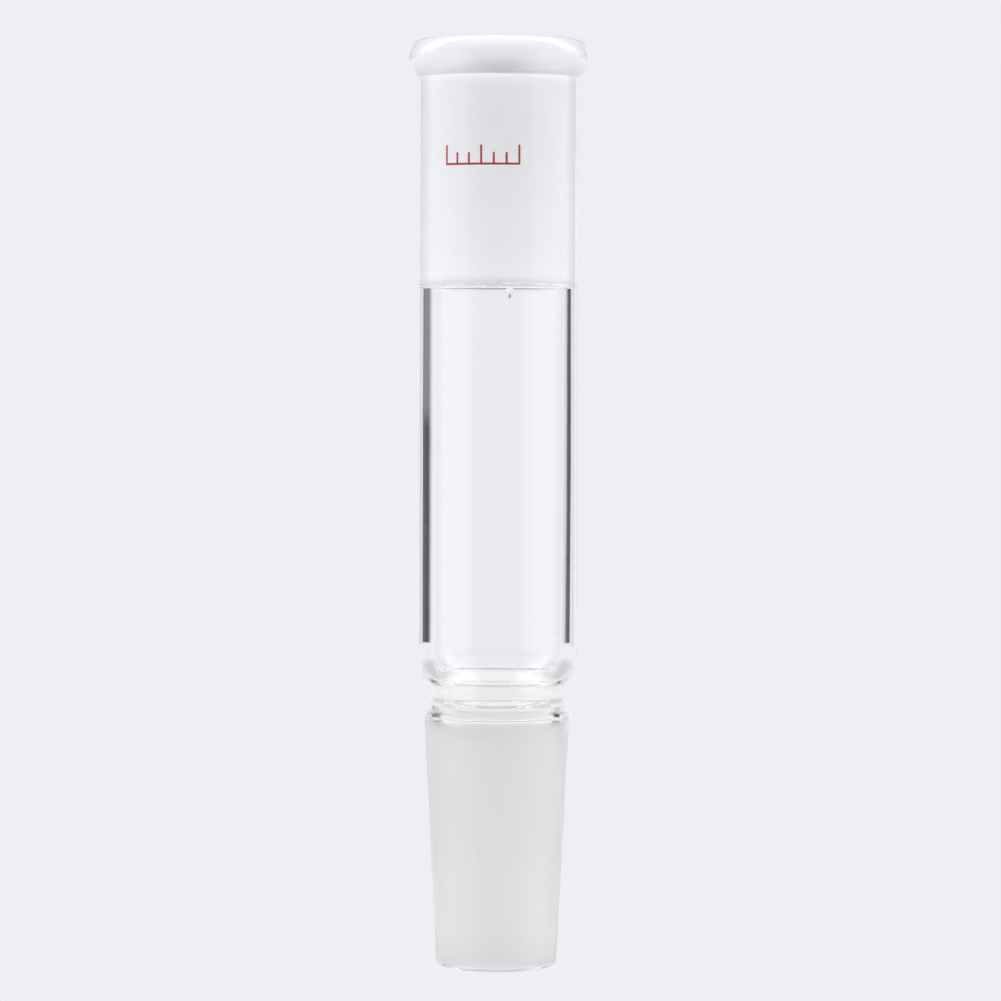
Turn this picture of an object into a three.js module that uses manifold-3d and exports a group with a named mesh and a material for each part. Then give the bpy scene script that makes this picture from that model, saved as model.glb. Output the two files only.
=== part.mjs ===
// Straight glass joint adapter: a ground socket with a rolled bead on top, a plain body tube, a rounded
// shoulder, a short neck and a ground cone below. It is lampworked from tube sections that meet at seal lines.
// Millimetres. The axis is Z, and Z = 0 is the lower end of the cone. The front, with the index mark, faces -Y.

import * as THREE from 'three';
import { mergeVertices } from 'three/addons/utils/BufferGeometryUtils.js';
import Module from 'manifold-3d';

const wasm = await Module();
wasm.setup();

// The two ground joints are both size 24/40: 24 mm across the large end, 40 mm long, narrowing 1 mm in 10.
const groundLength = 40;
const groundLargeRadius = 12;
const groundSmallRadius = groundLargeRadius - groundLength / 20;

// The tubes.
const bodyRadius = 13.3;
const bodyBore = 11.45;
const neckRadius = 11;
const neckBore = 9.45;
const coneWall = 1.65;

// The fire-polished end of the cone, drawn in a little, and the collar between the cone and the neck: a straight
// band, then a roll.
const lipHeight = 1.3;
const lipRounding = 2;
const endFaceBore = groundSmallRadius - 2.5;
const collarBand = 0.4;
const collarRoll = 1.4;
const collarEdge = 0.2;

// The rolled bead round the mouth of the socket. Its section is part of an ellipse, flat on top.
const beadRadius = 15.35;
const beadHalfWidth = 2.35;
const beadHalfHeight = 3;
const beadLowestAngle = -72;
const beadFillet = 0.3;
const mouthChamfer = 0.4;
const mouthHeight = 0.5;

// Lengths along the axis.
const neckLength = 3.8;
const shoulderLength = 5.6;
const clearLength = 60.8;
const socketStepLength = 1.1;

// Heights, from the lower end upwards.
const coneEnd = lipHeight + groundLength;
const collarTop = coneEnd + collarBand;
const neckStart = collarTop + collarRoll;
const neckEnd = neckStart + neckLength;
const bodyStart = neckEnd + shoulderLength;
const socketStart = bodyStart + clearLength;
const socketEnd = socketStart + groundLength;
const rimTop = socketEnd + mouthHeight;

// Seal lines, where one glass section is fused to the next. Each lies on a straight stretch of tube.
const coneSeal = neckStart + 0.5;
const neckSeal = neckEnd - 0.5;
const shoulderSeal = bodyStart + 1.7;
const socketSeal = socketStart - socketStepLength - 1;

const segments = 60;

function point(radius, height) {
  return new THREE.Vector2(radius, height);
}

// Points along part of an ellipse in the half plane of radius and height, from one angle to another in degrees.
function arc(centre, halfWidth, halfHeight, fromAngle, toAngle, steps) {
  const points = [];
  for (let i = 0; i <= steps; i++) {
    const angle = THREE.MathUtils.degToRad(THREE.MathUtils.lerp(fromAngle, toAngle, i / steps));
    points.push(point(centre.x + halfWidth * Math.cos(angle), centre.y + halfHeight * Math.sin(angle)));
  }
  return points;
}

// Points along an S from one point to another, leaving and arriving straight up or straight down.
function sweep(start, end, steps) {
  const middle = (start.y + end.y) / 2;
  return new THREE.CubicBezierCurve(start, point(start.x, middle), point(end.x, middle), end).getPoints(steps);
}

// One side of the shoulder, from the neck out to the body: it opens quickly, then rises almost straight.
function opening(start, end, steps) {
  const leave = point(THREE.MathUtils.lerp(start.x, end.x, 1 / 3), start.y + 0.2);
  const arrive = point(end.x - 0.1, THREE.MathUtils.lerp(start.y, end.y, 0.44));
  return new THREE.CubicBezierCurve(start, leave, arrive, end).getPoints(steps);
}

// A ring turned round the axis from its outline, which runs up the outside and down the inside.
function turned(outline) {
  return new THREE.LatheGeometry([...outline, outline[0]], segments).rotateX(Math.PI / 2);
}

function tube(outerRadius, innerRadius, fromHeight, toHeight) {
  return turned([
    point(innerRadius, fromHeight),
    point(outerRadius, fromHeight),
    point(outerRadius, toHeight),
    point(innerRadius, toHeight),
  ]);
}

function coneJoint() {
  const largeBore = groundLargeRadius - coneWall;
  const smallBore = groundSmallRadius - coneWall;
  const boreWidensOver = 3.4;
  const boreTop = point(neckBore, neckStart + collarEdge);
  return turned([
    point(endFaceBore, 0),
    ...arc(point(groundSmallRadius - lipRounding, lipHeight), lipRounding, lipHeight, -90, 0, 5),
    point(groundLargeRadius, coneEnd),
    point(groundLargeRadius, collarTop - collarEdge),
    ...sweep(point(groundLargeRadius - collarEdge, collarTop), point(neckRadius, neckStart), 5),
    point(neckRadius, coneSeal),
    point(neckBore, coneSeal),
    ...sweep(boreTop, point(largeBore, boreTop.y - boreWidensOver), 5),
    point(smallBore, lipHeight),
  ]);
}

function shoulder() {
  const boreRise = 1.9;
  const inside = opening(point(neckBore, neckEnd + boreRise), point(bodyBore, shoulderSeal - 0.9), 7);
  return turned([
    point(neckBore, neckSeal),
    point(neckRadius, neckSeal),
    ...opening(point(neckRadius, neckEnd), point(bodyRadius, bodyStart), 8),
    point(bodyRadius, shoulderSeal),
    point(bodyBore, shoulderSeal),
    ...inside.reverse(),
  ]);
}

function socketJoint() {
  const beadCentre = point(beadRadius - beadHalfWidth, rimTop - beadHalfHeight);
  const stepTop = point(groundSmallRadius + 0.1, socketStart - 0.3);
  return turned([
    point(bodyBore, socketSeal),
    point(bodyRadius, socketSeal),
    point(bodyRadius, rimTop - 2 * beadHalfHeight - beadFillet),
    ...arc(beadCentre, beadHalfWidth, beadHalfHeight, beadLowestAngle, 90, 9),
    point(groundLargeRadius + mouthChamfer, rimTop),
    point(groundLargeRadius, socketEnd),
    point(groundSmallRadius, socketStart),
    ...sweep(stepTop, point(bodyBore, socketStart - socketStepLength), 5),
  ]);
}

// The index mark: a short line round the front of the socket with small ticks on it, like the edge of a ruler.
// Angles are in degrees, from the front towards +X. It stands just clear of the flats of the glass.
const markCentre = -12.5;
const markTicks = 7;
const ticksPerLongTick = 3;
const tickSpacing = 9;
const strokeAngle = 2;
const strokeHeight = 0.4;
const markBottom = 132.6;
const longTick = 3.3;
const shortTick = 2.1;
const markClearance = 0.04;
const markThickness = 0.1;
const markFacet = 1;

function wrappedBlock(fromAngle, angle, fromHeight, height) {
  const block = new THREE.BoxGeometry(angle, height, markThickness, Math.round(angle / markFacet), 1, 1);
  const middleRadius = bodyRadius + markClearance + markThickness / 2;
  block.translate(fromAngle + angle / 2, fromHeight + height / 2, middleRadius);
  const position = block.attributes.position;
  for (let i = 0; i < position.count; i++) {
    const turn = THREE.MathUtils.degToRad(position.getX(i));
    const radius = position.getZ(i);
    position.setXYZ(i, radius * Math.sin(turn), -radius * Math.cos(turn), position.getY(i));
  }
  return block;
}

function solidOf(geometry) {
  geometry.deleteAttribute('normal');
  geometry.deleteAttribute('uv');
  const merged = mergeVertices(geometry);
  const vertProperties = merged.attributes.position.array;
  const triVerts = new Uint32Array(merged.index.array);
  return new wasm.Manifold(new wasm.Mesh({ numProp: 3, vertProperties, triVerts }));
}

function geometryOf(solid) {
  const { vertProperties, triVerts } = solid.getMesh();
  const geometry = new THREE.BufferGeometry();
  geometry.setAttribute('position', new THREE.BufferAttribute(vertProperties, 3));
  geometry.setIndex(new THREE.BufferAttribute(triVerts, 1));
  geometry.computeVertexNormals();
  return geometry;
}

function indexMark() {
  const markAngle = (markTicks - 1) * tickSpacing + strokeAngle;
  const start = markCentre - markAngle / 2;
  let mark = solidOf(wrappedBlock(start, markAngle, markBottom, strokeHeight));
  for (let i = 0; i < markTicks; i++) {
    const tickHeight = i % ticksPerLongTick === 0 ? longTick : shortTick;
    mark = mark.add(solidOf(wrappedBlock(start + i * tickSpacing, strokeAngle, markBottom, tickHeight)));
  }
  return geometryOf(mark);
}

const clear = { color: 0xe9edf0, roughness: 0.05, metalness: 0 };
const ground = { color: 0xe3e6e4, roughness: 0.7, metalness: 0 };
const enamel = { color: 0xc8281e, roughness: 0.35, metalness: 0 };

function named(name, geometry, finish) {
  const mesh = new THREE.Mesh(geometry, new THREE.MeshStandardMaterial(finish));
  mesh.name = name;
  return mesh;
}

const adapter = new THREE.Group();
adapter.add(
  named('socket_joint', socketJoint(), ground),
  named('body_tube', tube(bodyRadius, bodyBore, shoulderSeal, socketSeal), clear),
  named('shoulder', shoulder(), clear),
  named('neck_tube', tube(neckRadius, neckBore, coneSeal, neckSeal), clear),
  named('cone_joint', coneJoint(), ground),
  named('index_mark', indexMark(), enamel),
);

export default adapter;
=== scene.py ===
"""Looks of a straight glass joint adapter: drawn clear glass, two ground joint surfaces and a red index mark.

The glass is laid out as one skin, from the outline of its outside and the outline of its bore. It is then cut
at the seals into one closed piece for each CAD node. The cut faces let light straight through, so the glass
looks whole.
"""

import math

import bmesh
import bpy
import numpy as np
from mathutils import Matrix, Vector, noise


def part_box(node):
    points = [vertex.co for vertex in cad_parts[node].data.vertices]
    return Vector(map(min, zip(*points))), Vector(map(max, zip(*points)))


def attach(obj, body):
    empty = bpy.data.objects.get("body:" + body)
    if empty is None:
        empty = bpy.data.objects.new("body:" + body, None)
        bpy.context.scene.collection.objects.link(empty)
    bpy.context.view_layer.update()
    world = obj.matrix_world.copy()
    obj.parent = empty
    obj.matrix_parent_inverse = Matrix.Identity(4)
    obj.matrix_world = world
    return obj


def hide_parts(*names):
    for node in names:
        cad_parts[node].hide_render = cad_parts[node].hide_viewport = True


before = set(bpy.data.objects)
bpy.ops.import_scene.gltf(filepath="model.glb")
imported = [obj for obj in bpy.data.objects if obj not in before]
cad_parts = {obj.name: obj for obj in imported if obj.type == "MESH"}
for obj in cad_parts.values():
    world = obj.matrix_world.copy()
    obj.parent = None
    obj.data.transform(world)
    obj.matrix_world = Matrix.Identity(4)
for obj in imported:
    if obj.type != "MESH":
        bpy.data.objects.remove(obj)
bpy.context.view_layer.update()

MM = 0.001
TINY = 1e-6


# Sizes, in millimetres. Heights and outer radii come from the frame, walls and small shapes are named here.

def heights(node):
    low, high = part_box(node)
    return low.z / MM, high.z / MM


def radius(node):
    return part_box(node)[1].x / MM


NECK_START, NECK_END = heights("neck_tube")
SHOULDER_END = heights("shoulder")[1]
SOCKET_START, RIM = heights("socket_joint")
CONE_RADIUS = radius("cone_joint")
NECK_RADIUS = radius("neck_tube")
BODY_RADIUS = radius("body_tube")
BEAD_RADIUS = radius("socket_joint")

# A 24/40 ground joint is 40 mm long, and its diameter narrows 1 mm in 10.
GROUND_LENGTH = 40
CONE_SMALL = CONE_RADIUS - GROUND_LENGTH / 20

NECK_WALL = 1.55
BODY_WALL = 1.85
CONE_WALL = 1.65
NECK_BORE = NECK_RADIUS - NECK_WALL
BODY_BORE = BODY_RADIUS - BODY_WALL
CONE_BORE_TOP = CONE_RADIUS - CONE_WALL
CONE_BORE_LOW = CONE_SMALL - CONE_WALL

LIP_HEIGHT = 1.3
LIP_ROUNDING = 2.0
LIP_BORE = 7.45
CONE_TOP = LIP_HEIGHT + GROUND_LENGTH

SEAL_TO_SHOULDER = 0.5
SHOULDER_LENGTH = 5.6
SHOULDER_FOOT = NECK_END + SEAL_TO_SHOULDER
SHOULDER_TOP = SHOULDER_FOOT + SHOULDER_LENGTH

MOUTH_DEPTH = 0.5
MOUTH = RIM - MOUTH_DEPTH
GROUND_BORE_END = MOUTH - GROUND_LENGTH

BEAD_HALF_WIDTH = 2.35
BEAD_HALF_HEIGHT = 3.0
BEAD_CREASE_DEPTH = 6.3


# Outlines, as points of (radius, height).

def arc(centre, half_width, half_height, start, end, steps):
    """Part of an ellipse, from one angle to another in degrees."""
    angles = [math.radians(start + (end - start) * i / steps) for i in range(steps + 1)]
    return [(centre[0] + half_width * math.cos(a), centre[1] + half_height * math.sin(a)) for a in angles]


def bezier(a, b, c, d, steps):
    points = []
    for i in range(steps + 1):
        t = i / steps
        weights = ((1 - t) ** 3, 3 * t * (1 - t) ** 2, 3 * t * t * (1 - t), t**3)
        points.append(tuple(sum(w * p[k] for w, p in zip(weights, (a, b, c, d))) for k in (0, 1)))
    return points


def sweep(start, end, steps):
    """An S that leaves and arrives straight up."""
    middle = (start[1] + end[1]) / 2
    return bezier(start, (start[0], middle), (end[0], middle), end, steps)


def collar_outside():
    """The top of the cone: a straight band, a rounded edge, and a roll that hollows in to the neck."""
    band = (CONE_RADIUS, CONE_TOP + 0.1)
    roll = (NECK_RADIUS + 0.3, CONE_TOP + 1.4)
    neck = (NECK_RADIUS, NECK_START - 0.05)
    edge = bezier(band, (CONE_RADIUS, CONE_TOP + 1.0), (CONE_RADIUS - 0.25, CONE_TOP + 1.15), roll, 10)
    hollow = bezier(roll, (NECK_RADIUS + 0.15, CONE_TOP + 1.7), (NECK_RADIUS, CONE_TOP + 1.9), neck, 8)
    return edge + hollow[1:]


def shoulder_outside():
    """A small hollow at the foot, then a curve that opens quickly and rises almost straight into the body."""
    neck = (NECK_RADIUS, SHOULDER_FOOT - 0.5)
    foot = (NECK_RADIUS + 0.5, SHOULDER_FOOT + 0.55)
    body = (BODY_RADIUS, SHOULDER_FOOT + 6.1)
    hollow = bezier(
        neck, (NECK_RADIUS, SHOULDER_FOOT + 0.2), (NECK_RADIUS + 0.05, SHOULDER_FOOT + 0.25), foot, 12)
    opening = bezier(
        foot, (NECK_RADIUS + 1.3, SHOULDER_FOOT + 1.1), (BODY_RADIUS - 0.35, SHOULDER_FOOT + 2.1), body, 24)
    return hollow + opening[1:]


def bead_outside():
    """The rolled bead round the mouth, with a tight crease where it meets the socket."""
    widest = (BEAD_RADIUS, RIM - BEAD_HALF_HEIGHT)
    crease = (BODY_RADIUS + 0.02, RIM - BEAD_CREASE_DEPTH)
    tube = [(BODY_RADIUS, crease[1] - below) for below in (0.2, 0.1, 0.03)]
    fillet = bezier(*tube, crease, 5)
    leave_crease = (crease[0] + 0.7, crease[1] + 0.25)
    under = bezier(crease, leave_crease, (BEAD_RADIUS - 0.03, widest[1] - 1.5), widest, 20)
    over = arc((BEAD_RADIUS - BEAD_HALF_WIDTH, widest[1]), BEAD_HALF_WIDTH, BEAD_HALF_HEIGHT, 0, 90, 20)
    return fillet + under[1:] + over[1:]


def outside():
    """The outside of the glass, from the lip of the cone up to the rim."""
    lip = arc((CONE_SMALL - LIP_ROUNDING, LIP_HEIGHT), LIP_ROUNDING, LIP_HEIGHT, -90, 0, 16)
    return lip + collar_outside() + shoulder_outside() + bead_outside()


def cone_bore():
    """A rounded lip, a wall that thins above it, a taper, and a sweep in to a faint ridge at the neck."""
    rounding = (0.5, 0.9)
    ridge_radius = NECK_BORE - 0.12
    lip_top = (LIP_BORE, 1.0)
    wall_start = (CONE_BORE_LOW + 0.23, 7.0)
    return [
        *arc((LIP_BORE + rounding[0], rounding[1]), *rounding, -90, -180, 10),
        *bezier(lip_top, (LIP_BORE, 2.6), (CONE_BORE_LOW - 0.1, 3.6), wall_start, 14),
        *sweep((CONE_BORE_TOP, CONE_TOP - 3.2), (ridge_radius, NECK_START - 0.1), 18),
        *sweep((ridge_radius, NECK_START + 0.1), (NECK_BORE, NECK_START + 1.6), 8),
    ]


def shoulder_bore():
    start = (NECK_BORE, SHOULDER_FOOT - 0.3)
    end = (BODY_BORE, SHOULDER_FOOT + 6.95)
    return bezier(start, (NECK_BORE, SHOULDER_FOOT + 1.9), (BODY_BORE, SHOULDER_FOOT + 1.85), end, 28)


def socket_bore():
    """A step in to the small end of the ground bore, its taper, and the rounded mouth."""
    step = sweep((BODY_BORE, GROUND_BORE_END - 0.7), (CONE_SMALL, GROUND_BORE_END + 0.1), 10)
    ground_top = (CONE_RADIUS, MOUTH - 0.2)
    face = (CONE_RADIUS + 0.5, RIM)
    mouth = bezier(ground_top, (CONE_RADIUS + 0.05, MOUTH + 0.2), (CONE_RADIUS + 0.2, RIM), face, 8)
    return step + mouth


def bore():
    """The bore of the glass, from the lip of the cone up to the rim."""
    return cone_bore() + shoulder_bore() + socket_bore()


LONGEST_ROW = 1.0


def with_rows(outline, extra_heights):
    """The outline with a point at each extra height, and no step too long to bend with the glass."""
    points = []
    for (r0, h0), (r1, h1) in zip(outline, outline[1:]):
        points.append((r0, h0))
        inside = {h for h in extra_heights if h0 + TINY < h < h1 - TINY}
        count = math.ceil((h1 - h0) / LONGEST_ROW)
        inside |= {h0 + (h1 - h0) * i / count for i in range(1, count)}
        points += [(r0 + (r1 - r0) * (h - h0) / (h1 - h0), h) for h in sorted(inside)]
    return points + [outline[-1]]


# The skin of the whole glass, as rings of points.

AROUND = 288

# Each is how deep it is, how fast it changes round the glass, and how long it is up the glass.
WAVES = (0.07, 1.3, 80)
STREAKS = (0.015, 5, 150)
BORE_SEED = 7.3

# The heights over which the unevenness dies away, below a true surface.
BORE_EVENS_OUT = (GROUND_BORE_END - 40, GROUND_BORE_END - 1)
OUTSIDE_EVENS_OUT = (RIM - 12, RIM)

DRIP_BEARING = 9
DRIP_HEIGHT = GROUND_BORE_END - 1.5
DRIP_DEPTH = 0.2
DRIP_HALF_WIDTH = 0.32
DRIP_HALF_HEIGHT = 1.0
DRIP_ROWS = [DRIP_HEIGHT + 0.15 * i for i in range(-12, 8)]


def fade(value, low, high):
    t = min(max((value - low) / (high - low), 0), 1)
    return t * t * (3 - 2 * t)


def unevenness(angle, height, inside):
    """How far hand-worked glass wanders from round, in millimetres. Ground surfaces and the ends are true."""
    free = fade(height, CONE_TOP, NECK_START)
    free *= 1 - fade(height, *(BORE_EVENS_OUT if inside else OUTSIDE_EVENS_OUT))
    if free == 0:
        return 0
    seed = BORE_SEED if inside else 0
    total = 0
    for depth, around, length in (WAVES, STREAKS):
        at = Vector((math.cos(angle) * around, math.sin(angle) * around, height / length + seed))
        total += depth * noise.noise(at)
    return free * total


def drip(angle, height):
    """A small run of glass in the bore, just below where the ground surface ends, in millimetres."""
    across = (angle - math.radians(DRIP_BEARING)) * BODY_BORE / DRIP_HALF_WIDTH
    down = (height - DRIP_HEIGHT) / DRIP_HALF_HEIGHT
    return DRIP_DEPTH * math.exp(-across * across - down * down)


def ring(r, height, inside):
    points = []
    for i in range(AROUND):
        angle = 2 * math.pi * i / AROUND
        reach = r + unevenness(angle, height, inside)
        if inside:
            reach -= drip(angle, height)
        points.append((reach * math.sin(angle), -reach * math.cos(angle), height))
    return points


class Skin:
    """Rings of points up the outside and down the bore, with a smooth normal at each point."""

    def __init__(self, seals):
        up = with_rows(outside(), seals)
        down = with_rows(bore(), [*seals, *DRIP_ROWS])[::-1]
        self.heights = [h for r, h in up + down]
        self.inside = [False] * len(up) + [True] * len(down)
        rings = [ring(r, h, False) for r, h in up] + [ring(r, h, True) for r, h in down]
        self.points = np.array(rings)
        along = np.roll(self.points, -1, axis=0) - np.roll(self.points, 1, axis=0)
        around = np.roll(self.points, -1, axis=1) - np.roll(self.points, 1, axis=1)
        normals = np.cross(around, along)
        self.normals = normals / np.linalg.norm(normals, axis=2, keepdims=True)


def add_to_scene(name, mesh):
    added = bpy.data.objects.new(name, mesh)
    bpy.context.scene.collection.objects.link(added)
    return added


def hand_over(piece, node):
    """The piece takes the place of a CAD node and rides on the part's only body."""
    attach(piece, "root")
    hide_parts(node)


def glass_piece(name, skin, low, high, materials, material_at):
    """One closed piece of the glass between two heights. The last of its materials is for the cut faces."""
    rows = [i for i, h in enumerate(skin.heights) if low - TINY <= h <= high + TINY]
    vertices = (skin.points[rows] * MM).reshape(-1, 3)
    faces, slots = [], []
    for k, row in enumerate(rows):
        after = (k + 1) % len(rows)
        joined = (row + 1) % len(skin.heights) == rows[after]
        slot = material_at(skin, row, rows[after]) if joined else len(materials) - 1
        for i in range(AROUND):
            j = (i + 1) % AROUND
            faces.append((k * AROUND + i, k * AROUND + j, after * AROUND + j, after * AROUND + i))
            slots.append(slot)
    mesh = bpy.data.meshes.new(name)
    mesh.from_pydata(vertices.tolist(), [], faces)
    for material in materials:
        mesh.materials.append(material)
    mesh.polygons.foreach_set("material_index", slots)
    mesh.polygons.foreach_set("use_smooth", [True] * len(faces))
    mesh.update()
    mesh.normals_split_custom_set_from_vertices(skin.normals[rows].reshape(-1, 3).tolist())
    return add_to_scene(name, mesh)


# Node helpers.

class Nodes:
    """Builds one node tree by short calls. A value, a colour or another node's output can feed any input."""

    def __init__(self, tree):
        self.tree = tree
        tree.nodes.clear()

    def feed(self, socket, value):
        if isinstance(value, bpy.types.NodeSocket):
            self.tree.links.new(value, socket)
        else:
            socket.default_value = value

    def add(self, kind, inputs=(), **settings):
        node = self.tree.nodes.new("ShaderNode" + kind)
        for key, value in settings.items():
            setattr(node, key, value)
        for key, value in dict(inputs).items():
            self.feed(node.inputs[key], value)
        return node

    def math(self, operation, *values):
        return self.add("Math", dict(enumerate(values)), operation=operation).outputs[0]

    def vector(self, operation, *values):
        node = self.add("VectorMath", dict(enumerate(values)), operation=operation)
        return node.outputs["Value" if operation == "DOT_PRODUCT" else "Vector"]

    def rise(self, value, low, high, start=0.0, end=1.0):
        """Goes smoothly from start to end as value goes from low to high."""
        inputs = {"Value": value, "From Min": low, "From Max": high, "To Min": start, "To Max": end}
        return self.add("MapRange", inputs, interpolation_type="SMOOTHSTEP").outputs["Result"]

    def fall(self, value, low, high):
        """Goes smoothly from 1 to 0 as value goes from low to high."""
        return self.rise(value, low, high, 1.0, 0.0)

    def between(self, value, low, high, soft):
        """1 from low to high and 0 outside, with soft ends."""
        above = self.rise(value, low - soft, low + soft)
        below = self.fall(value, high - soft, high + soft)
        return self.math("MULTIPLY", above, below)

    def mix(self, share, first, second):
        node = self.add("Mix", {"Factor": share}, data_type="RGBA")
        self.feed(node.inputs[6], first)
        self.feed(node.inputs[7], second)
        return node.outputs[2]

    def noise(self, place, scale, detail=2.0, roughness=0.5):
        inputs = {"Vector": place, "Scale": scale, "Detail": detail, "Roughness": roughness}
        return self.add("TexNoise", inputs).outputs["Fac"]

    def place(self, stretch=(1, 1, 1)):
        """The point on the object, in millimetres, times a stretch for each axis."""
        at = self.add("TexCoord").outputs["Object"]
        return self.vector("MULTIPLY", at, tuple(s / MM for s in stretch))

    def height(self):
        return self.add("SeparateXYZ", {"Vector": self.place()}).outputs["Z"]

    def bump(self, relief, strength, depth):
        inputs = {"Height": relief, "Strength": strength, "Distance": depth * MM}
        return self.add("Bump", inputs).outputs[0]


# The materials.

GLASS_IOR = 1.474
BODY_GLASS = (0.994, 0.997, 0.999)
NECK_GLASS = (0.987, 0.993, 0.987)
CONE_FROST = (1.0, 1.0, 0.985)
BORE_FROST = (0.924, 0.924, 0.929)
DEEP_ENAMEL = (0.5, 0.035, 0.02)
PALE_ENAMEL = (0.62, 0.06, 0.035)
GROUND_EDGE = 0.12

# How far the bore's frost material goes past the ground surface, so that its edge can wander.
FROST_MARGIN = 1.0


def opaque(colour):
    return colour + (1,)


def new_material(name):
    material = bpy.data.materials.new(name)
    material.use_nodes = True
    return material, Nodes(material.node_tree)


def finish_with(nodes, inputs):
    surface = nodes.add("BsdfPrincipled", inputs)
    output = nodes.add("OutputMaterial")
    nodes.tree.links.new(surface.outputs[0], output.inputs["Surface"])


def clear_glass():
    """Fire-polished glass with faint streaks along the tube. The neck and the cone are a little greener."""
    material, nodes = new_material("clear_glass")
    streaks = nodes.noise(nodes.place((1, 1, 0.06)), 0.5, 3)
    drawn = nodes.rise(nodes.height(), SHOULDER_FOOT + 2, SHOULDER_TOP)
    finish_with(nodes, {
        "Base Color": nodes.mix(drawn, opaque(NECK_GLASS), opaque(BODY_GLASS)),
        "Roughness": 0.0,
        "IOR": GLASS_IOR,
        "Transmission Weight": 1.0,
        "Normal": nodes.bump(streaks, 0.02, 0.2),
    })
    return material


def ground_glass(name, tint, through, low, high, wander, feather):
    """A ground joint surface between two heights, and clear fire-polished glass beyond them.

    The grinding leaves a fine grain, faint rings round the joint, a low edge that wanders a little, and a
    feathered high edge. Through is the share of the light that the frost lets through.
    """
    material, nodes = new_material(name)
    height = nodes.height()
    drift = nodes.noise(nodes.place((1, 1, 0)), 0.09, 1)
    edge = nodes.math("MULTIPLY_ADD", drift, 2 * wander, low - wander)
    above = nodes.rise(nodes.math("SUBTRACT", height, edge), -GROUND_EDGE, GROUND_EDGE)
    below = nodes.fall(height, high - feather, high + GROUND_EDGE)
    ground = nodes.math("MULTIPLY", above, below)

    grain = nodes.noise(nodes.place(), 6, 3, 0.7)
    rings = nodes.noise(nodes.place((0.03, 0.03, 1)), 2.2, 3)
    mottle = nodes.noise(nodes.place((1, 1, 0.4)), 0.3, 4)
    relief = nodes.math("MULTIPLY_ADD", rings, 0.6, grain)
    deep = tuple(c * 0.99 for c in tint)
    frost = nodes.mix(nodes.rise(mottle, 0.3, 0.7), opaque(deep), opaque(tint))
    finish_with(nodes, {
        "Base Color": nodes.mix(ground, opaque(BODY_GLASS), frost),
        "Roughness": nodes.math("MULTIPLY", ground, nodes.rise(mottle, 0.3, 0.7, 0.55, 0.62)),
        "IOR": GLASS_IOR,
        "Transmission Weight": nodes.math("MULTIPLY_ADD", ground, through - 1, 1.0),
        "Normal": nodes.bump(relief, nodes.math("MULTIPLY", ground, 0.05), 0.05),
    })
    return material


def seal_cut():
    """The face where two glass pieces are fused. Light goes straight through it."""
    material, nodes = new_material("seal_cut")
    finish_with(nodes, {"Base Color": (1, 1, 1, 1), "Roughness": 1.0, "Alpha": 0.0})
    return material


def red_enamel():
    """Screen-printed enamel, fired on: slightly uneven in colour and gloss."""
    material, nodes = new_material("red_enamel")
    spread = nodes.noise(nodes.place(), 1.6, 4, 0.6)
    grain = nodes.noise(nodes.place(), 9, 2)
    finish_with(nodes, {
        "Base Color": nodes.mix(nodes.rise(spread, 0.35, 0.65), opaque(DEEP_ENAMEL), opaque(PALE_ENAMEL)),
        "Roughness": nodes.rise(spread, 0.3, 0.7, 0.3, 0.45),
        "Normal": nodes.bump(grain, 0.2, 0.02),
    })
    return material


# The glass pieces.

def build_glass():
    skin = Skin((NECK_START, NECK_END, SHOULDER_END, SOCKET_START))
    clear = clear_glass()
    seal = seal_cut()
    cone_frost = ground_glass(
        "ground_cone", CONE_FROST, through=0.7,
        low=0.6, high=CONE_TOP + 0.4, wander=0.1, feather=1.2)
    bore_frost = ground_glass(
        "ground_bore", BORE_FROST, through=0.03,
        low=GROUND_BORE_END, high=RIM + FROST_MARGIN, wander=0.6, feather=GROUND_EDGE)

    def on_cone(skin, row, after):
        return 1 if not skin.inside[row] and not skin.inside[after] else 0

    def in_socket(skin, row, after):
        low = min(skin.heights[row], skin.heights[after])
        return 1 if skin.inside[row] and low > GROUND_BORE_END - FROST_MARGIN else 0

    def all_clear(skin, row, after):
        return 0

    pieces = (
        ("cone_joint", 0, NECK_START, [clear, cone_frost, seal], on_cone, "ground_glass"),
        ("neck_tube", NECK_START, NECK_END, [clear, seal], all_clear, "clear_glass"),
        ("shoulder", NECK_END, SHOULDER_END, [clear, seal], all_clear, "clear_glass"),
        ("body_tube", SHOULDER_END, SOCKET_START, [clear, seal], all_clear, "clear_glass"),
        ("socket_joint", SOCKET_START, RIM, [clear, bore_frost, seal], in_socket, "ground_glass"),
    )
    for node, low, high, materials, material_at, slot in pieces:
        hand_over(glass_piece(node + "_glass", skin, low, high, materials, material_at), node)


# The index mark.

MARK_CENTRE = -12.5
MARK_TICKS = 7
TICKS_PER_LONG_TICK = 3
TICK_SPACING = 9
LONG_TICK = 3.3
SHORT_TICK = 2.1
STROKE = 0.34
ENAMEL_THICKNESS = 0.03
PRINT_GAP = 0.01


def comb():
    """The outline of the index mark, laid flat in millimetres: a base line with round-ended ticks on it."""
    pitch = math.radians(TICK_SPACING) * BODY_RADIUS
    half = STROKE / 2
    width = pitch * (MARK_TICKS - 1) + STROKE
    base_steps = 4 * (MARK_TICKS - 1)
    outline = arc((half, half), half, half, 180, 270, 4)
    outline += [(half + (width - STROKE) * i / base_steps, 0) for i in range(1, base_steps)]
    outline += arc((width - half, half), half, half, 270, 360, 4)
    for i in reversed(range(MARK_TICKS)):
        tall = LONG_TICK if i % TICKS_PER_LONG_TICK == 0 else SHORT_TICK
        middle = half + pitch * i
        outline += arc((middle, tall - half), half, half, 0, 180, 8)
        if i > 0:
            outline += [(middle - half - (pitch - STROKE) * j / 4, STROKE) for j in range(5)]
    return outline, width


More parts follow.
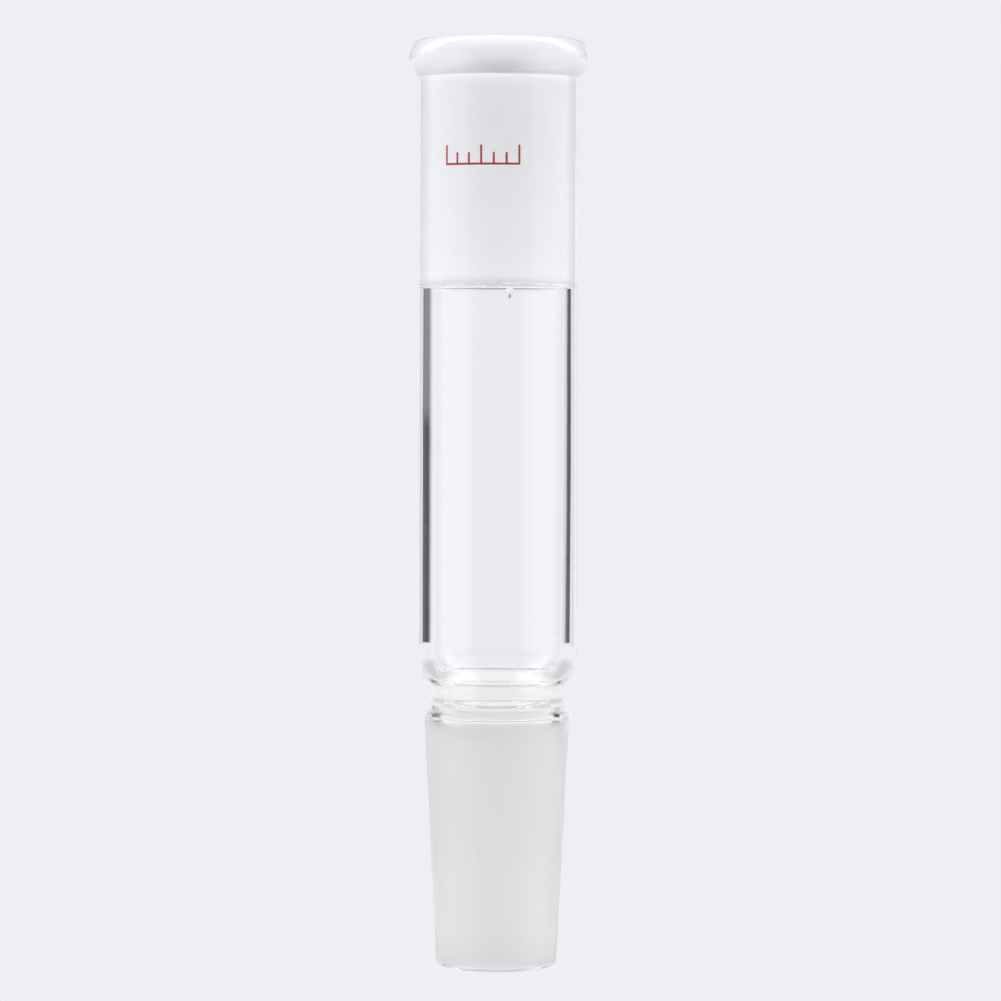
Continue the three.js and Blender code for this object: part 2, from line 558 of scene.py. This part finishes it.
def build_index_mark():
    """Enamel printed on the glass: the comb wrapped round the socket, as a film with a thickness."""
    outline, width = comb()
    low = heights("index_mark")[0]
    film = bmesh.new()
    face = film.faces.new([film.verts.new((x, y, 0)) for x, y in outline])
    face.normal_update()
    bmesh.ops.triangulate(film, faces=[face])
    grown = bmesh.ops.extrude_face_region(film, geom=film.faces[:])
    for vertex in (v for v in grown["geom"] if isinstance(v, bmesh.types.BMVert)):
        vertex.co.z = ENAMEL_THICKNESS
    for vertex in film.verts:
        angle = math.radians(MARK_CENTRE) + (vertex.co.x - width / 2) / BODY_RADIUS
        height = low + vertex.co.y
        reach = BODY_RADIUS + unevenness(angle, height, False) + PRINT_GAP + vertex.co.z
        vertex.co = (reach * math.sin(angle) * MM, -reach * math.cos(angle) * MM, height * MM)
    bmesh.ops.recalc_face_normals(film, faces=film.faces)
    mesh = bpy.data.meshes.new("index_mark_print")
    film.to_mesh(mesh)
    film.free()
    mesh.materials.append(red_enamel())
    piece = add_to_scene("index_mark_print", mesh)
    piece.visible_diffuse = False
    piece.visible_transmission = False
    hand_over(piece, "index_mark")


build_glass()
build_index_mark()


# The studio. It turns with the camera, as when the object is turned on a stand.
#
# A bearing is in degrees from straight behind the object, towards the right of the picture. A climb is how
# far a direction points above the line of sight, so what stands at one climb stands level in the picture.
# Each level multiplies the light in its part of the studio. A pair of numbers is where that part, or the
# change to it, starts and ends.

BACKGROUND = (0.855, 0.863, 0.905)
LIGHT_TINT = (0.862, 0.865, 0.89)

FRONT_LEVEL, FRONT = 0.75, (129, 142)
SIDE_LEVEL, SIDE_SOFT = 1.35, 2
LEFT_SIDE, RIGHT_SIDE = (-142, -66), (66, 129)

FLAG_LEVEL = 0.05
LEFT_FLAG_EDGE, RIGHT_FLAG_EDGE = (-29.5, -26.5), (34.5, 37.5)
LEFT_FLAG_FADE, RIGHT_FLAG_FADE = (-66, -50), (50, 66)
LEFT_FLAG_FOOT, RIGHT_FLAG_FOOT = -0.034, -0.037
FLAG_TOP = 0.7
FLAG_SHARPNESS = 0.001
PALER_SHARE, PALER_ABOVE, PALER_OUT = 0.2, (0.017, 0.022), (-34, -30)

FAR_CLIMB = (0.12, 0.3)
STEEP_CLIMB = (0.4, 0.75)
BACK = (40, 70)
FRONT_HALF = (90, 130)
FAR_SIDES, FAR_SIDES_SOFT = (60, 130), 10
FAR_LEVEL, FAR_BACK_LEVEL, FAR_FRONT_LEVEL = 1.25, 0.95, 1.65
LOW_BACK_LEVEL, STEEP_BACK_LEVEL, HIGH_SIDE_LEVEL = 0.75, 2.3, 1.6

CEILING_LEVEL, CEILING_RISE, CEILING_BEARING = 0.02, (0.08, 0.25), (82, 100)
BACK_CEILING_LEVEL, BACK_CEILING_RISE, BACK_CEILING_BEARING = 0.35, (0.2, 0.35), (50, 70)


def studio_light():
    """Pale paper behind, a dark flag at each side of it, two soft lights, a dim front and a dark ceiling."""
    world = bpy.data.worlds.new("studio")
    world.use_nodes = True
    bpy.context.scene.world = world
    nodes = Nodes(world.node_tree)

    def from_camera(direction):
        settings = {"vector_type": "VECTOR", "convert_from": "CAMERA", "convert_to": "WORLD"}
        return nodes.add("VectorTransform", {"Vector": direction}, **settings).outputs[0]

    looking = nodes.add("TexCoord").outputs["Generated"]
    right = from_camera((1, 0, 0))
    forward = nodes.vector("CROSS_PRODUCT", from_camera((0, 1, 0)), right)
    ahead = nodes.vector("CROSS_PRODUCT", (0, 0, 1), right)
    across = nodes.vector("DOT_PRODUCT", looking, right)
    along = nodes.vector("DOT_PRODUCT", looking, ahead)
    bearing = nodes.math("DEGREES", nodes.math("ARCTAN2", across, along))
    turned_away = nodes.math("ABSOLUTE", bearing)
    climb = nodes.vector("DOT_PRODUCT", nodes.vector("SUBTRACT", looking, forward), (0, 0, 1))
    drop = nodes.math("MULTIPLY", climb, -1.0)
    upward = nodes.add("SeparateXYZ", {"Vector": looking}).outputs["Z"]

    def both(first, second):
        return nodes.math("MULTIPLY", first, second)

    light = 1.0

    def lit(level, share):
        """Multiplies the light by the level where the share is 1, and leaves it where the share is 0."""
        nonlocal light
        light = both(light, nodes.math("MULTIPLY_ADD", share, level - 1, 1.0))

    # The front, behind the camera, and the two soft lights.
    lit(FRONT_LEVEL, nodes.rise(turned_away, *FRONT))
    lit(SIDE_LEVEL, nodes.between(bearing, *LEFT_SIDE, SIDE_SOFT))
    lit(SIDE_LEVEL, nodes.between(bearing, *RIGHT_SIDE, SIDE_SOFT))

    # The flags. Each is sharp towards the paper and fades away from it. The left one is paler high up.
    left_width = both(nodes.rise(bearing, *LEFT_FLAG_FADE), nodes.fall(bearing, *LEFT_FLAG_EDGE))
    left_height = nodes.between(climb, LEFT_FLAG_FOOT, FLAG_TOP, FLAG_SHARPNESS)
    paler = both(nodes.rise(climb, *PALER_ABOVE), nodes.fall(bearing, *PALER_OUT))
    strength = nodes.math("MULTIPLY_ADD", paler, -PALER_SHARE, 1.0)
    lit(FLAG_LEVEL, both(both(left_width, left_height), strength))
    right_width = both(nodes.rise(bearing, *RIGHT_FLAG_EDGE), nodes.fall(bearing, *RIGHT_FLAG_FADE))
    right_height = nodes.between(climb, RIGHT_FLAG_FOOT, FLAG_TOP, FLAG_SHARPNESS)
    lit(FLAG_LEVEL, both(right_width, right_height))

    # Far above and far below the line of sight.
    far = nodes.rise(nodes.math("ABSOLUTE", climb), *FAR_CLIMB)
    back_half = nodes.fall(turned_away, *FRONT_HALF)
    lit(FAR_LEVEL, both(far, nodes.rise(turned_away, *BACK)))
    lit(FAR_BACK_LEVEL, both(far, nodes.fall(turned_away, *BACK)))
    lit(FAR_FRONT_LEVEL, both(far, nodes.rise(turned_away, *FRONT_HALF)))
    lit(LOW_BACK_LEVEL, both(nodes.rise(drop, *FAR_CLIMB), back_half))
    lit(STEEP_BACK_LEVEL, both(nodes.rise(drop, *STEEP_CLIMB), back_half))
    high = nodes.rise(climb, *FAR_CLIMB)
    lit(HIGH_SIDE_LEVEL, both(high, nodes.between(turned_away, *FAR_SIDES, FAR_SIDES_SOFT)))

    # The ceiling.
    lit(CEILING_LEVEL, both(nodes.rise(upward, *CEILING_RISE), nodes.rise(turned_away, *CEILING_BEARING)))
    back_ceiling = nodes.rise(upward, *BACK_CEILING_RISE)
    lit(BACK_CEILING_LEVEL, both(back_ceiling, nodes.fall(turned_away, *BACK_CEILING_BEARING)))

    white = nodes.add("VectorMath", {0: LIGHT_TINT, "Scale": light}, operation="SCALE").outputs["Vector"]
    seen = nodes.add("LightPath").outputs["Is Camera Ray"]
    colour = nodes.mix(seen, white, opaque(BACKGROUND))
    background = nodes.add("Background", {"Color": colour, "Strength": 1.0})
    output = nodes.add("OutputWorld")
    nodes.tree.links.new(background.outputs[0], output.inputs["Surface"])


FLOOR_HALF = 6.0


def floor():
    """A plain pale floor that meets the paper without a line."""
    mesh = bpy.data.meshes.new("floor")
    signs = ((-1, -1), (1, -1), (1, 1), (-1, 1))
    mesh.from_pydata([(x * FLOOR_HALF, y * FLOOR_HALF, 0) for x, y in signs], [], [(0, 1, 2, 3)])
    material, nodes = new_material("pale_floor")
    glow = nodes.add("Emission", {"Color": opaque(BACKGROUND), "Strength": 1.0})
    output = nodes.add("OutputMaterial")
    nodes.tree.links.new(glow.outputs[0], output.inputs["Surface"])
    mesh.materials.append(material)
    sheet = add_to_scene("floor", mesh)
    sheet.visible_transmission = False
    sheet.visible_glossy = False


CAMERA_DISTANCE = 780
CAMERA_HEIGHT = 98.1
LENS = 169
NEAR_AND_FAR_CLIP = (0.05, 50)
TIPPED_DOWN = 1.512
PANNED = -0.035
ROLLED = 0.2


def camera():
    """The photograph's view: a long lens level with the upper part of the body tube, tipped slightly down."""
    data = bpy.data.cameras.new("camera")
    data.lens = LENS
    data.clip_start, data.clip_end = NEAR_AND_FAR_CLIP
    eye = add_to_scene("camera", data)
    pan = Matrix.Rotation(math.radians(PANNED), 4, "Z")
    tip = Matrix.Rotation(math.radians(90 - TIPPED_DOWN), 4, "X")
    roll = Matrix.Rotation(math.radians(ROLLED), 4, "Z")
    place = Matrix.Translation((0, -CAMERA_DISTANCE * MM, CAMERA_HEIGHT * MM))
    eye.matrix_world = place @ pan @ tip @ roll
    bpy.context.scene.camera = eye


MOST_BOUNCES = 200


def light_paths():
    """Clear glass stays sharp, and light may bounce in its walls for as long as it takes to get out."""
    cycles = bpy.context.scene.cycles
    cycles.blur_glossy = 0
    for kind in ("max", "transmission", "glossy", "diffuse", "transparent_max"):
        setattr(cycles, kind + "_bounces", MOST_BOUNCES)


studio_light()
floor()
camera()
light_paths()
bpy.context.scene.view_settings.view_transform = "Standard"
